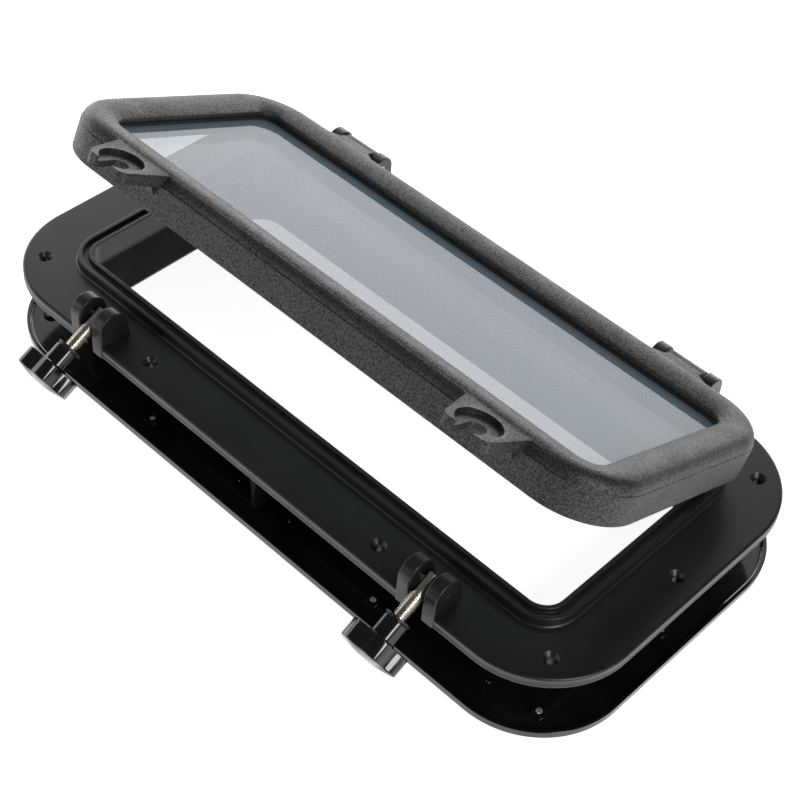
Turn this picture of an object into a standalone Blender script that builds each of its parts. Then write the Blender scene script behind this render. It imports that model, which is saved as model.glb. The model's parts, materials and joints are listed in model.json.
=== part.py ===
"""Opening deck hatch: clamping frame, hinged glazed lid and two swing-bolt latches."""
import math

import bmesh
import bpy
from mathutils import Matrix, Vector

MM = 0.001
GAP = 0.3

# Where the drawing origin (middle of the flange top) sits above the base centre, mm.
SHIFT = Vector((0.0, 19.8, 49.5))

# Frame
FLANGE_X = 220.0
FLANGE_Y = 111.0
FLANGE_R = 54.0
FLANGE_T = 8.0
OPENING_X = 178.0
OPENING_Y = 70.0
OPENING_R = 12.0
COAMING_Z = 5.5
SPIGOT_Z = -47.5
CORNER_STEPS = 9
HOLES = ((195.0, 86.0), (88.6, 97.5), (-88.6, 97.5), (-195.0, 86.0), (-206.0, 0.0),
         (-195.0, -86.0), (-88.6, -97.5), (88.6, -97.5), (195.0, -86.0), (206.0, 0.0))
HOLE_R = 2.25
SINK_R = 4.2

# Clamping ring
TRIM_X = 221.0
TRIM_Y = 111.5
TRIM_R = 54.5
TRIM_BASE = -49.5
TRIM_FLOOR = -46.8
TRIM_LIP = -44.2
BOSS_R = 4.4

# Stations of the hinges and latches along the long sides
FITTING_X = 127.0

# Latches
PIVOT = Vector((0.0, -101.8, 10.0))
LATCH_TILT = 28.0
LATCH_EAR_R = 9.2
LATCH_EAR_T = 8.0
LATCH_SLOT = 10.0
LATCH_PIN_R = 1.5
STUD_R = 4.0
SHANK_R = 3.5
STUD_END = 36.0
HUB_S = 25.0
HUB_R = 7.6
DISC_S = 36.4
DISC_END = 47.6
DOME_END = 49.6
LOBE_R = 18.0
LOBE_DEPTH = 3.0
LOBES = 6
INSERT_R = 5.6
BORE_END = 48.0

# Hinges and lid
HINGE = Vector((0.0, 103.0, 18.5))
HINGE_EAR_R = 8.0
HINGE_PIN_R = 2.0
HINGE_EARS = ((106.0, 113.5), (140.0, 147.4))
KNUCKLE_X = (115.0, 138.4)
KNUCKLE_R = 7.0
BUSH_R = 3.6
LID_OPEN = 24.0
LID_X = 196.5
LID_Y = 88.5
LID_R = 37.0
LID_LIP = 22.7
LIP_R = 10.0
AXIS_V = 191.5
AXIS_W = 11.5
PANE_TOP = 13.0
PANE_BASE = 8.0
LUG_V = -13.5


def clear_scene():
    """Remove every object left in the file."""
    for item in list(bpy.data.objects):
        bpy.data.objects.remove(item, do_unlink=True)


def material(name, color, metallic, roughness, alpha=1.0):
    """Return a plain Principled material."""
    mat = bpy.data.materials.new(name)
    mat.use_nodes = True
    shader = mat.node_tree.nodes["Principled BSDF"]
    shader.inputs["Base Color"].default_value = (*color, 1.0)
    shader.inputs["Metallic"].default_value = metallic
    shader.inputs["Roughness"].default_value = roughness
    shader.inputs["Alpha"].default_value = alpha
    return mat


def deck_spot():
    """Place of the parts drawn in the frame's own coordinates."""
    return Vector((0.0, 0.0, 0.0)), 0.0


def lid_spot():
    """Place of the parts drawn about the hinge axis."""
    return HINGE, -LID_OPEN


def latch_spot(side):
    """Place of the parts drawn about a latch pivot, the bolt along -Y."""
    return PIVOT + Vector((side * FITTING_X, 0.0, 0.0)), LATCH_TILT


def finish(name, bm, spot, mat=None, sharp=30.0):
    """Turn a bmesh in millimetres into a placed object."""
    origin, tilt = spot
    bmesh.ops.remove_doubles(bm, verts=bm.verts, dist=1e-4)
    bmesh.ops.recalc_face_normals(bm, faces=bm.faces)
    bmesh.ops.scale(bm, vec=(MM, MM, MM), verts=bm.verts)
    mesh = bpy.data.meshes.new(name)
    bm.to_mesh(mesh)
    bm.free()
    item = bpy.data.objects.new(name, mesh)
    bpy.context.scene.collection.objects.link(item)
    item.location = (origin + SHIFT) * MM
    item.rotation_euler = (math.radians(tilt), 0.0, 0.0)
    if mat is None:
        item.hide_render = True
        item.display_type = "WIRE"
        return item
    mesh.materials.append(mat)
    for face in mesh.polygons:
        face.use_smooth = True
    mesh.set_sharp_from_angle(angle=math.radians(sharp))
    return item


def combine(item, other, operation):
    """Add or cut another object with an exact Boolean."""
    mod = item.modifiers.new(other.name, "BOOLEAN")
    mod.object = other
    mod.operation = operation
    mod.solver = "EXACT"


def rounded_loop(half_x, half_y, radius, z, steps=CORNER_STEPS):
    """Points of a rounded rectangle at height z."""
    points = []
    corners = ((1, 1, 0.0), (-1, 1, 90.0), (-1, -1, 180.0), (1, -1, 270.0))
    for sx, sy, start in corners:
        cx = sx * (half_x - radius)
        cy = sy * (half_y - radius)
        for i in range(steps + 1):
            a = math.radians(start + 90.0 * i / steps)
            points.append(Vector((cx + radius * math.cos(a), cy + radius * math.sin(a), z)))
    return points


def add_rows(bm, rows, closed):
    """Skin a list of equal point loops; closed joins last to first, else both ends are capped."""
    made = [[bm.verts.new(p) for p in row] for row in rows]
    count = len(made[0])
    pairs = list(zip(made, made[1:]))
    if closed:
        pairs.append((made[-1], made[0]))
    for a, b in pairs:
        for i in range(count):
            j = (i + 1) % count
            bm.faces.new((a[i], a[j], b[j], b[i]))
    if not closed:
        bm.faces.new(made[0])
        bm.faces.new(list(reversed(made[-1])))


def add_prism(bm, outline, axis, low, high):
    """Extrude an outline along X, Y or Z; outline holds the two other coordinates in order."""
    def spot(a, b, c):
        if axis == "X":
            return Vector((c, a, b))
        if axis == "Y":
            return Vector((a, c, b))
        return Vector((a, b, c))
    add_rows(bm, [[spot(a, b, c) for a, b in outline] for c in (low, high)], False)


def circle(cx, cy, radius, steps=20, start=0.0, sweep=360.0):
    """Points of a circle or an arc."""
    full = abs(sweep) >= 360.0
    count = steps if full else steps + 1
    angles = [math.radians(start + sweep * i / steps) for i in range(count)]
    return [(cx + radius * math.cos(a), cy + radius * math.sin(a)) for a in angles]


def add_rod(bm, y, z, radius, low, high, steps=16):
    """Cylinder along X."""
    add_prism(bm, circle(y, z, radius, steps), "X", low, high)


def add_turned(bm, x, y, profile, steps=16):
    """Solid of revolution about a vertical axis; profile is (radius, z)."""
    rows = [[Vector((a, b, z)) for a, b in circle(x, y, r, steps)] for r, z in profile]
    add_rows(bm, rows, False)


def add_turned_y(bm, profile, steps=24, tube=False):
    """Solid of revolution about the bolt line; profile is (radius, distance along -Y)."""
    rows = [[Vector((a, -s, b)) for a, b in circle(0.0, 0.0, r, steps)] for r, s in profile]
    add_rows(bm, rows, tube)


def opening_station(step, z):
    """Frame section point: distance outside the clear opening, and height."""
    return rounded_loop(OPENING_X + step, OPENING_Y + step, OPENING_R + step, z)


def flange_station(step, z):
    """Frame section point: distance inside the flange outline, and height."""
    return rounded_loop(FLANGE_X - step, FLANGE_Y - step, FLANGE_R - step, z)


def frame_body():
    """Flange, double coaming ridge and spigot as one closed section."""
    inside = ((6.0, SPIGOT_Z), (4.6, SPIGOT_Z), (2.0, -44.0), (0.0, 4.7), (0.6, COAMING_Z),
              (2.0, COAMING_Z), (2.6, 4.8), (2.8, 2.8), (6.2, 2.8), (6.5, 4.8),
              (7.0, COAMING_Z), (8.6, COAMING_Z), (9.4, 4.7), (11.8, 0.6), (12.8, 0.0))
    edge = ((1.6, 0.0), (0.5, -0.4), (0.0, -1.5), (0.4, -3.0), (0.4, -4.8),
            (0.0, -6.3), (0.5, -7.6), (1.6, -FLANGE_T))
    rows = [opening_station(d, z) for d, z in inside]
    rows += [flange_station(d, z) for d, z in edge]
    rows += [opening_station(7.0, -FLANGE_T), opening_station(5.8, -9.6)]
    bm = bmesh.new()
    add_rows(bm, rows, True)
    return bm


def latch_ear_outline():
    """Round-topped ear, front flush with the flange edge and back sloping down to it."""
    y, z = PIVOT.y, PIVOT.z
    foot = 12.0
    reach = math.hypot(foot, z)
    lean = math.atan2(-z, foot) + math.acos(LATCH_EAR_R / reach)
    start = math.degrees(lean)
    arc = circle(y, z, LATCH_EAR_R, 12, start, 180.0 - start)
    return arc + [(y - LATCH_EAR_R, -3.0), (y + foot, -3.0), (y + foot, 0.0)]


def hinge_ear_outline():
    """Round-topped ear over the hinge axis, upright at the back."""
    y, z = HINGE.y, HINGE.z
    arc = circle(y, z, HINGE_EAR_R, 12, 0.0, 180.0)
    return arc + [(y - HINGE_EAR_R - 2.5, 0.0), (y - HINGE_EAR_R - 2.5, -3.0), (y + HINGE_EAR_R, -3.0)]


def fin_outline():
    """Centre fin under the flange, flared where it meets it."""
    return [(-4.3, -6.0), (-4.3, -8.6), (-1.4, -30.0), (-1.4, -43.6),
            (1.4, -43.6), (1.4, -30.0), (4.3, -8.6), (4.3, -6.0)]


def frame_additions():
    """Ears, fins and latch blocks that grow out of the flange."""
    bm = bmesh.new()
    for side in (-1, 1):
        x = side * FITTING_X
        for way in (-1, 1):
            near = x + way * LATCH_SLOT / 2
            far = near + way * LATCH_EAR_T
            add_prism(bm, latch_ear_outline(), "X", min(near, far), max(near, far))
        for low, high in HINGE_EARS:
            ends = sorted((side * low, side * high))
            add_prism(bm, hinge_ear_outline(), "X", *ends)
        block = [(x - 30, -107), (x + 30, -107), (x + 34, -77), (x - 34, -77)]
        add_prism(bm, block, "Z", -12.0, -4.0)
    add_prism(bm, fin_outline(), "Y", 74.0, 102.0)
    add_prism(bm, fin_outline(), "Y", -102.0, -74.0)
    return bm


def frame_cuts():
    """Screw holes, hinge bores and the notches the swing bolts pass through."""
    bm = bmesh.new()
    for x, y in HOLES:
        add_turned(bm, x, y, ((HOLE_R, -20.0), (HOLE_R, -2.2), (SINK_R, 0.0), (SINK_R, 1.0)), 12)
    for side in (-1, 1):
        x = side * FITTING_X
        half = LATCH_SLOT / 2
        outline = [(-114.0, -14.0), (-97.0, -14.0), (-97.0, 24.0), (-114.0, 24.0)]
        add_prism(bm, outline, "X", x - half, x + half)
        for low, high in HINGE_EARS:
            ends = sorted((side * (low - 1), side * (high + 1)))
            add_rod(bm, HINGE.y, HINGE.z, HINGE_PIN_R + GAP, *ends)
    return bm


def latch_bores():
    """Pin bores through both ears of each latch."""
    bm = bmesh.new()
    for side in (-1, 1):
        x = side * FITTING_X
        add_rod(bm, PIVOT.y, PIVOT.z, LATCH_PIN_R + GAP, x - 14.5, x + 14.5, 12)
    return bm


def build_frame(black):
    """The moulded frame that carries everything else."""
    item = finish("main_frame", frame_body(), deck_spot(), black)
    combine(item, finish("frame_additions", frame_additions(), deck_spot()), "UNION")
    combine(item, finish("frame_cuts", frame_cuts(), deck_spot()), "DIFFERENCE")
    combine(item, finish("latch_bores", latch_bores(), deck_spot()), "DIFFERENCE")
    return item


def build_trim(gloss):
    """Clamping ring on the far side of the panel."""
    def outer(step, z):
        return rounded_loop(TRIM_X - step, TRIM_Y - step, TRIM_R - step, z)
    rows = [outer(0.6, TRIM_LIP), outer(2.1, TRIM_LIP), outer(2.7, TRIM_FLOOR + 0.4),
            outer(3.4, TRIM_FLOOR), opening_station(7.0, TRIM_FLOOR), opening_station(6.4, TRIM_FLOOR - 0.5),
            opening_station(6.4, TRIM_BASE), outer(1.0, TRIM_BASE), outer(0.0, TRIM_BASE + 1.0),
            outer(0.0, TRIM_LIP - 0.6)]
    bm = bmesh.new()
    add_rows(bm, rows, True)
    item = finish("trim_ring", bm, deck_spot(), gloss)
    bosses = bmesh.new()
    for x, y in HOLES:
        add_turned(bosses, x, y, ((BOSS_R, -48.6), (BOSS_R, -45.6), (BOSS_R - 0.8, -44.9)), 12)
    for x, y in ((20.0, 92.0), (165.0, 91.0), (-20.0, 92.0), (-165.0, 91.0)):
        for side in (-1, 1):
            add_turned(bosses, x, side * y, ((1.3, -48.6), (1.2, -45.4)), 8)
    combine(item, finish("trim_bosses", bosses, deck_spot()), "UNION")
    holes = bmesh.new()
    for x, y in HOLES:
        add_turned(holes, x, y, ((HOLE_R, -51.0), (HOLE_R, -43.0)), 10)
    combine(item, finish("trim_holes", holes, deck_spot()), "DIFFERENCE")
    return item


def lid_loop(step, w):
    """Lid section point: distance inside the outer edge, and height over the lid's base."""
    radius = LID_R - step * (LID_R - LIP_R) / LID_LIP
    loop = rounded_loop(LID_X - step, LID_Y - step, radius, w - AXIS_W)
    lift = Vector((0.0, LID_Y - AXIS_V, 0.0))
    return [p + lift for p in loop]


def lid_ring(name, section, mat):
    """Closed ring following the lid outline."""
    bm = bmesh.new()
    add_rows(bm, [lid_loop(d, w) for d, w in section], True)
    return finish(name, bm, lid_spot(), mat)


def lid_y(v):
    """Distance from the hinge axis of a point v from the lid's front edge."""
    return v - AXIS_V


def lug_outline(x):
    """Plan of a latch lug."""
    pts = [(x - 22.5, lid_y(10.0)), (x - 13.4, lid_y(-21.5))]
    pts += circle(x - 9.6, lid_y(-21.2), 3.8, 4, 180.0, 90.0)
    pts += circle(x + 9.6, lid_y(-21.2), 3.8, 4, 270.0, 90.0)
    pts += [(x + 13.4, lid_y(-21.5)), (x + 22.5, lid_y(10.0))]
    return list(reversed(pts))


def slot_outline(x):
    """Open slot that the swing bolt drops into."""
    arc = circle(x, lid_y(LUG_V + 0.5), 5.1, 10, 0.0, 180.0)
    return arc + [(x - 5.1, lid_y(-30.0)), (x + 5.1, lid_y(-30.0))]


def hinge_web_outline(side):
    """Plan of a hinge lug from the lid's back edge to its knuckle."""
    mid = side * sum(KNUCKLE_X) / 2
    half = (KNUCKLE_X[1] - KNUCKLE_X[0]) / 2
    return [(mid - 20.5, lid_y(168.0)), (mid + 20.5, lid_y(168.0)), (mid + 20.5, lid_y(177.5)),
            (mid + half, lid_y(183.0)), (mid + half, lid_y(188.0)), (mid - half, lid_y(188.0)),
            (mid - half, lid_y(183.0)), (mid - 20.5, lid_y(177.5))]


def lid_webs():
    """Latch lugs with their gussets, and hinge webs."""
    bm = bmesh.new()
    for side in (-1, 1):
        x = side * FITTING_X
        add_prism(bm, lug_outline(x), "Z", 13.7 - AXIS_W, 20.5 - AXIS_W)
        add_prism(bm, hinge_web_outline(side), "Z", 7.0 - AXIS_W, 18.2 - AXIS_W)
    return bm


def lid_knuckles():
    """Hinge knuckles, and the gussets under the latch lugs."""
    bm = bmesh.new()
    for side in (-1, 1):
        ends = sorted((side * KNUCKLE_X[0], side * KNUCKLE_X[1]))
        add_rod(bm, 0.0, 0.0, KNUCKLE_R, *ends, 20)
        outline = [(lid_y(3.0), 7.0 - AXIS_W), (lid_y(0.0), 7.0 - AXIS_W),
                   (lid_y(-4.5), 14.2 - AXIS_W), (lid_y(3.0), 14.2 - AXIS_W)]
        x = side * FITTING_X
        add_prism(bm, outline, "X", x - 17.0, x + 17.0)
    return bm


def lid_cuts():
    """Knuckle bores and the bolt slots."""
    bm = bmesh.new()
    for side in (-1, 1):
        ends = sorted((side * (KNUCKLE_X[0] - 1), side * (KNUCKLE_X[1] + 1)))
        add_rod(bm, 0.0, 0.0, BUSH_R + GAP, *ends, 16)
        add_prism(bm, slot_outline(side * FITTING_X), "Z", -6.0, 14.0)
    return bm


def lid_counterbores():
    """Round seats for the knobs around the slots."""
    bm = bmesh.new()
    for side in (-1, 1):
        seat = circle(side * FITTING_X, lid_y(LUG_V), 12.5, 24)
        add_prism(bm, seat, "Z", 17.5 - AXIS_W, 24.0 - AXIS_W)
    return bm


def build_lid(black, glass, rubber):
    """Lid frame with its pane, seals and retaining ring."""
    section = ((15.5, 0.0), (15.5, 15.0), (22.7, 15.0), (22.7, 17.2), (22.3, 17.9), (20.5, 19.0),
               (16.5, 20.6), (12.5, 21.5), (9.0, 21.8), (6.0, 21.4), (3.6, 20.3), (1.8, 18.5),
               (0.8, 16.4), (0.5, 14.9), (0.0, 14.4), (0.0, -2.4), (0.6, -3.0), (4.4, -3.0),
               (5.2, 0.0), (6.5, 0.0), (6.5, 3.0), (13.5, 3.0), (13.5, 0.0))
    item = lid_ring("lid_frame", section, black)
    combine(item, finish("lid_webs", lid_webs(), lid_spot()), "UNION")
    combine(item, finish("lid_knuckles", lid_knuckles(), lid_spot()), "UNION")
    combine(item, finish("lid_cuts", lid_cuts(), lid_spot()), "DIFFERENCE")
    combine(item, finish("lid_counterbores", lid_counterbores(), lid_spot()), "DIFFERENCE")
    pane = bmesh.new()
    rows = [lid_loop(16.4, PANE_BASE), lid_loop(15.9, PANE_BASE + 0.5),
            lid_loop(15.9, PANE_TOP - 0.5), lid_loop(16.4, PANE_TOP)]
    add_rows(pane, rows, False)
    finish("glass_pane", pane, lid_spot(), glass)
    lid_ring("glazing_seal", ((16.4, 13.3), (16.4, 14.7), (23.4, 14.7), (23.8, 14.0), (23.4, 13.3)), rubber)
    lid_ring("lid_gasket", ((6.8, 2.7), (13.2, 2.7), (13.2, 0.3), (12.2, -0.8), (10.8, -1.2),
                            (9.2, -1.2), (7.8, -0.8), (6.8, 0.3)), rubber)
    lid_ring("pane_retainer", ((15.9, 6.2), (15.9, 7.7), (25.0, 7.7), (25.2, 6.9), (24.6, 6.2)), black)
    return item


def build_pins(steel, nylon):
    """Hinge pins with their friction bushes, and latch pins."""
    for side, label in ((-1, "left"), (1, "right")):
        pin = bmesh.new()
        ends = sorted((side * (HINGE_EARS[0][0] + 0.4), side * (HINGE_EARS[1][1] - 0.4)))
        add_rod(pin, HINGE.y, HINGE.z, HINGE_PIN_R, *ends, 16)
        finish("hinge_pin_" + label, pin, deck_spot(), steel)
        bush = bmesh.new()
        rows = []
        for radius, x in ((BUSH_R, KNUCKLE_X[0]), (BUSH_R, KNUCKLE_X[1]),
                          (HINGE_PIN_R + GAP, KNUCKLE_X[1]), (HINGE_PIN_R + GAP, KNUCKLE_X[0])):
            rows.append([Vector((side * x, a, b)) for a, b in circle(0.0, 0.0, radius, 16)])
        add_rows(bush, rows, True)
        finish("hinge_bush_" + label, bush, lid_spot(), nylon)
        pin = bmesh.new()
        x = side * FITTING_X
        add_rod(pin, PIVOT.y, PIVOT.z, LATCH_PIN_R, x - 12.6, x + 12.6, 12)
        finish("latch_pin_" + label, pin, deck_spot(), steel)


def knob_row(radius, s, depth):
    """Lobed outline of the hand wheel at one station along the bolt."""
    row = []
    for i in range(LOBES * 8):
        a = 2 * math.pi * i / (LOBES * 8)
        r = radius - depth * (0.5 - 0.5 * math.cos(LOBES * a))
        row.append(Vector((r * math.cos(a), -s, r * math.sin(a))))
    return row


def knob_body():
    """Six-lobed hand wheel with its hub and a slightly domed face."""
    bm = bmesh.new()
    rows = [knob_row(HUB_R, HUB_S, 0.3), knob_row(HUB_R, DISC_S, 0.3),
            knob_row(LOBE_R - 0.5, DISC_S, LOBE_DEPTH), knob_row(LOBE_R, DISC_S + 0.6, LOBE_DEPTH),
            knob_row(LOBE_R, DISC_END - 0.8, LOBE_DEPTH), knob_row(LOBE_R - 0.8, DISC_END, LOBE_DEPTH),
            knob_row(LOBE_R - 6.0, DISC_END + 1.4, 1.0), knob_row(5.0, DOME_END, 0.0)]
    add_rows(bm, rows, False)
    return bm


def build_latch(side, label, steel, gloss, nylon, brass):
    """Swing bolt, thrust washer, knob and threaded insert of one latch."""
    spot = latch_spot(side)
    bolt = bmesh.new()
    add_turned_y(bolt, ((SHANK_R, -4.5), (SHANK_R, 4.4), (STUD_R, 5.2),
                        (STUD_R, STUD_END - 0.8), (STUD_R - 0.8, STUD_END)))
    bolt = finish("swing_bolt_" + label, bolt, spot, steel)
    eye = bmesh.new()
    add_rod(eye, 0.0, 0.0, LATCH_PIN_R + GAP, -8.0, 8.0, 12)
    combine(bolt, finish("eye_cut_" + label, eye, spot), "DIFFERENCE")
    knob = finish("knob_" + label, knob_body(), spot, gloss)
    hollow = bmesh.new()
    add_turned_y(hollow, ((INSERT_R + GAP, HUB_S - 1.0), (INSERT_R + GAP, BORE_END)))
    combine(knob, finish("knob_bore_" + label, hollow, spot), "DIFFERENCE")
    insert = bmesh.new()
    inner = STUD_R + GAP
    add_turned_y(insert, ((INSERT_R, HUB_S + 0.2), (INSERT_R, BORE_END - GAP), (inner, BORE_END - GAP),
                          (inner, HUB_S + 0.2)), 24, True)
    finish("knob_insert_" + label, insert, spot, brass)
    washer = bmesh.new()
    add_turned_y(washer, ((7.4, HUB_S - 1.7), (7.4, HUB_S - 0.4), (inner, HUB_S - 0.4),
                          (inner, HUB_S - 1.7)), 24, True)
    finish("knob_washer_" + label, washer, spot, nylon)


def main():
    """Build every piece of the hatch."""
    clear_scene()
    black = material("black_abs", (0.022, 0.024, 0.022), 0.0, 0.5)
    gloss = material("gloss_black", (0.008, 0.008, 0.009), 0.0, 0.2)
    glass = material("smoked_glass", (0.25, 0.28, 0.30), 0.0, 0.08, 0.35)
    rubber = material("black_rubber", (0.012, 0.012, 0.012), 0.0, 0.75)
    steel = material("stainless", (0.62, 0.57, 0.47), 1.0, 0.3)
    nylon = material("black_nylon", (0.015, 0.015, 0.015), 0.0, 0.45)
    brass = material("brass", (0.62, 0.46, 0.2), 1.0, 0.35)
    build_frame(black)
    build_trim(gloss)
    build_lid(black, glass, rubber)
    build_pins(steel, nylon)
    for side, label in ((-1, "left"), (1, "right")):
        build_latch(side, label, steel, gloss, nylon, brass)


main()
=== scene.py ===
"""Looks of an opening deck hatch: moulded frame, clamping ring, glazed lid and two swing-bolt latches."""

import json
import logging
import math
from dataclasses import dataclass, field
from enum import Enum
from typing import Callable, Optional, Sequence

import bmesh
import bpy
from mathutils import Euler, Matrix, Vector
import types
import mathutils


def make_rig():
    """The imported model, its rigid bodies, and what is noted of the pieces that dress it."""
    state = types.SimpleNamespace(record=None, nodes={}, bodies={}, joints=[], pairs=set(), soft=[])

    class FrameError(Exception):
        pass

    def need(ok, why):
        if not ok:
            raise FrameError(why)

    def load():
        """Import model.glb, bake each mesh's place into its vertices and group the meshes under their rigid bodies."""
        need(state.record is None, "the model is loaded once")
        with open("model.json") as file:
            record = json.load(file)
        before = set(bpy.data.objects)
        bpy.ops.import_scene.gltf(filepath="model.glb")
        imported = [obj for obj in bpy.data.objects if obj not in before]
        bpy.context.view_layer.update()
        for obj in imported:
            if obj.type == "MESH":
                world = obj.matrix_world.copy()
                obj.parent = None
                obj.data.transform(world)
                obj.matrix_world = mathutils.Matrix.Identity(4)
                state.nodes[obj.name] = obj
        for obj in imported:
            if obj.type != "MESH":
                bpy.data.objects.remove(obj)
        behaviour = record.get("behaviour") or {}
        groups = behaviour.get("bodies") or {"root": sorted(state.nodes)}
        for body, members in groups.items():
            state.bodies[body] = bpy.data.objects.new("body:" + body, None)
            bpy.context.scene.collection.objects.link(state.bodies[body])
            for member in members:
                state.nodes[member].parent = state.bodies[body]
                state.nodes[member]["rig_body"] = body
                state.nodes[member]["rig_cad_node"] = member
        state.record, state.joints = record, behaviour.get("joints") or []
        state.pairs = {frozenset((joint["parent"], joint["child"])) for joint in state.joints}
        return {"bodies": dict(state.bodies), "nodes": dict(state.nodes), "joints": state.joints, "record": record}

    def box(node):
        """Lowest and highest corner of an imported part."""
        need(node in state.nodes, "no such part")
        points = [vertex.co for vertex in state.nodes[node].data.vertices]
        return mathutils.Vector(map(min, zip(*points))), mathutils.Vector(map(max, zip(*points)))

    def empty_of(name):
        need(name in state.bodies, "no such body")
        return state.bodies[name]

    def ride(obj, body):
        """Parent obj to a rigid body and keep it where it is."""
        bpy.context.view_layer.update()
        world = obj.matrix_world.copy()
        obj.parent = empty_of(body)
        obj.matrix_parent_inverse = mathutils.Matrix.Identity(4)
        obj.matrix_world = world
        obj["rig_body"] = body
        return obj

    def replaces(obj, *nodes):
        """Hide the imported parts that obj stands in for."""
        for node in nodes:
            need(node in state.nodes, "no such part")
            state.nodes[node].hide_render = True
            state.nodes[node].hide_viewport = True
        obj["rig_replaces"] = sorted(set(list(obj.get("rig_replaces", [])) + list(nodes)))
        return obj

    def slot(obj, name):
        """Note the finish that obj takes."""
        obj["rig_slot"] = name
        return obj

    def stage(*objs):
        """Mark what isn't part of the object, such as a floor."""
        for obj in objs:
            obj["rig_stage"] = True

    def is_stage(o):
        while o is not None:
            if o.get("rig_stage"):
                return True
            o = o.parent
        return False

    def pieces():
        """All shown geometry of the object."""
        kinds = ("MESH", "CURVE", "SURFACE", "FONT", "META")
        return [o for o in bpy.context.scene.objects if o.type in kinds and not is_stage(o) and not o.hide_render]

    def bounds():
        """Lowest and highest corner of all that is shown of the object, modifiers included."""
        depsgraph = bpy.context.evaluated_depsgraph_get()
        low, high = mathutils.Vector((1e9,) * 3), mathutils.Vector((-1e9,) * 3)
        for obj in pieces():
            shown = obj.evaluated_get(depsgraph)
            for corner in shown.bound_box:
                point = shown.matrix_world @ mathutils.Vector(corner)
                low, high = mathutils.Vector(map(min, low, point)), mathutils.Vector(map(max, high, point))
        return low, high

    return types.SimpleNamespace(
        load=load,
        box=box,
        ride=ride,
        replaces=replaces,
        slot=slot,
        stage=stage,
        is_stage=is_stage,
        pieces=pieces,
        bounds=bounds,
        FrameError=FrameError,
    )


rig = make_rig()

log = logging.getLogger("deck_hatch")

MM = 0.001
COAMING_TOP = 5.5  # height of the coaming over the flange, mm
RING_DEPTH = 49.5  # flange top plane over the underside of the clamping ring, mm
FLANGE_THICKNESS = 8.0  # mm
WELD_REACH = 12.0  # farthest that a turned solid reaches from its axis, mm
SIDEWAYS = Euler((math.pi / 2, 0, math.pi / 2))  # stands a plate up, its height along X
Section = Sequence[tuple[float, float]]
EdgeTest = Callable[[bmesh.types.BMEdge], bool]
Station = Callable[[Vector], Vector]


class Side(Enum):
    """The two ends of the hatch that carry a hinge and a latch each."""

    LEFT = -1
    RIGHT = 1

    @property
    def label(self) -> str:
        """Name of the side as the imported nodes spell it."""
        return self.name.lower()


class Cut(Enum):
    """What one shape does to another."""

    ADD = "UNION"
    REMOVE = "DIFFERENCE"


# ---------------------------------------------------------------- finishes


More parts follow.
